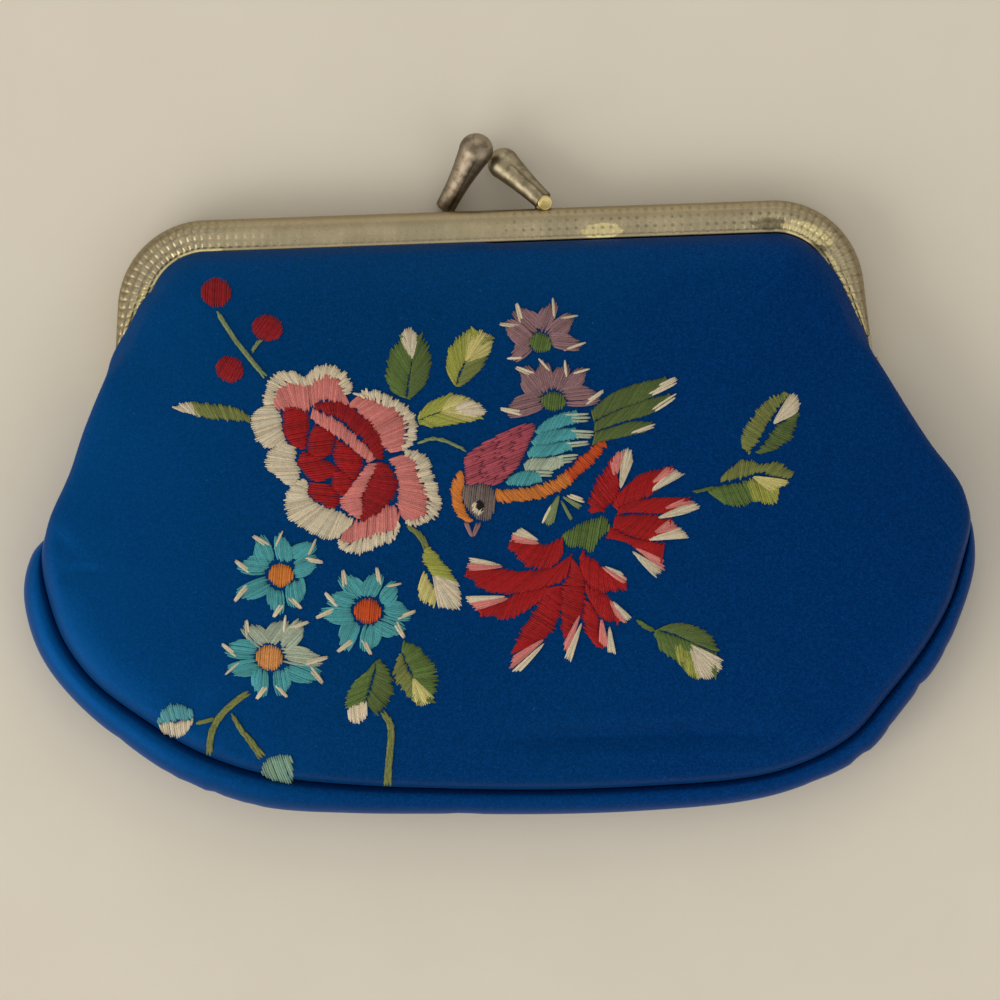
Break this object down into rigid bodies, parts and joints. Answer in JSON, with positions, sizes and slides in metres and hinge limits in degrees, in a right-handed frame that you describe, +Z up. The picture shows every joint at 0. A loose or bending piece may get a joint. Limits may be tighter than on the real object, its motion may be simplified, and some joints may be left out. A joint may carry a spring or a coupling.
{
  "type": "embroidered coin purse",
  "caption": "Small padded satin pouch with floral silk embroidery, held in a stamped metal clasp frame with crossing fingers, lying closed on its back.",
  "frame": {"origin": "on the surface it lies on, under the middle of the whole purse's box", "axes": "+X along the frame's bar, +Y from the pouch to the clasp, +Z up, out of the embroidered front"},
  "size_m": [0.1246, 0.0896, 0.015],
  "materials": {
    "frame_metal": "nickel-plated brass sheet stamped with a fine grid, worn to the brass along edges",
    "clasp_metal": "smooth nickel plating, slightly tarnished",
    "blue_satin": "deep blue silk satin over soft padding",
    "embroidery_silk": "floss silk in satin stitch, many colours"
  },
  "bodies": {
    "root": {"rear_frame": "frame_metal", "front_frame": "frame_metal", "left_hinge_rivet": "frame_metal", "right_hinge_rivet": "frame_metal", "rear_clasp_finger": "clasp_metal", "front_clasp_finger": "clasp_metal", "rear_panel": "blue_satin", "gusset": "blue_satin", "front_panel": "blue_satin"}
  },
  "joints": []
}
